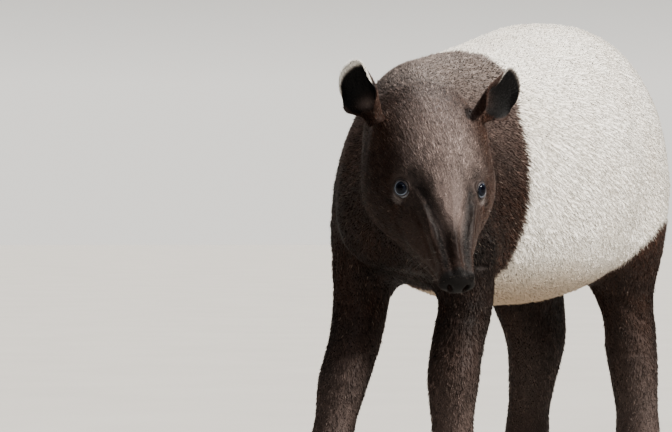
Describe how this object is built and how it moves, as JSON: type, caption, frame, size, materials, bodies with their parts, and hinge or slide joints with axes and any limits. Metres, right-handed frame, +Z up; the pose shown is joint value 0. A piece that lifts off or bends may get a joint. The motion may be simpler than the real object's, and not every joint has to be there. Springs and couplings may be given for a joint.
{
  "type": "standing juvenile malayan tapir",
  "caption": "young Malayan tapir standing with its head lowered and turned left, life size, dark head and legs, white saddle, short trunk, round ears, hoofed toes",
  "frame": {"origin": "on the floor, under the middle of the animal's bounding box", "axes": "Z up, the body faces -Y, the animal's left is +X; the head is turned towards +X"},
  "size_m": [0.535, 1.3356, 0.797],
  "materials": {
    "dark_coat": "near black brown short coat, reddish brown on the shoulders and thighs, soft sheen",
    "face_coat": "greyish brown very short coat of the face with fine light flecks",
    "white_coat": "warm white short coat of the saddle, cream below",
    "hoof_horn": "dark worn horn, half matt",
    "eye_gloss": "dark wet eye with a pale blue grey ring"
  },
  "bodies": {
    "root": {"forequarters": "dark_coat", "barrel": "white_coat", "neck": "dark_coat", "head": "face_coat", "trunk": "face_coat", "lower_jaw": "face_coat", "eye_left": "eye_gloss", "eye_right": "eye_gloss", "ear_left": "dark_coat", "ear_right": "dark_coat", "tail": "white_coat", "foreleg_left_upper": "dark_coat", "foreleg_left_lower": "dark_coat", "foot_foreleg_left": "dark_coat", "hoof_foreleg_left_inner": "hoof_horn", "hoof_foreleg_left_middle": "hoof_horn", "hoof_foreleg_left_outer": "hoof_horn", "hoof_foreleg_left_side": "hoof_horn", "foreleg_right_upper": "dark_coat", "foreleg_right_lower": "dark_coat", "foot_foreleg_right": "dark_coat", "hoof_foreleg_right_inner": "hoof_horn", "hoof_foreleg_right_middle": "hoof_horn", "hoof_foreleg_right_outer": "hoof_horn", "hoof_foreleg_right_side": "hoof_horn", "hindleg_left_upper": "dark_coat", "hindleg_left_lower": "dark_coat", "foot_hindleg_left": "dark_coat", "hoof_hindleg_left_inner": "hoof_horn", "hoof_hindleg_left_middle": "hoof_horn", "hoof_hindleg_left_outer": "hoof_horn", "hindleg_right_upper": "dark_coat", "hindleg_right_lower": "dark_coat", "foot_hindleg_right": "dark_coat", "hoof_hindleg_right_inner": "hoof_horn", "hoof_hindleg_right_middle": "hoof_horn", "hoof_hindleg_right_outer": "hoof_horn"}
  },
  "joints": []
}
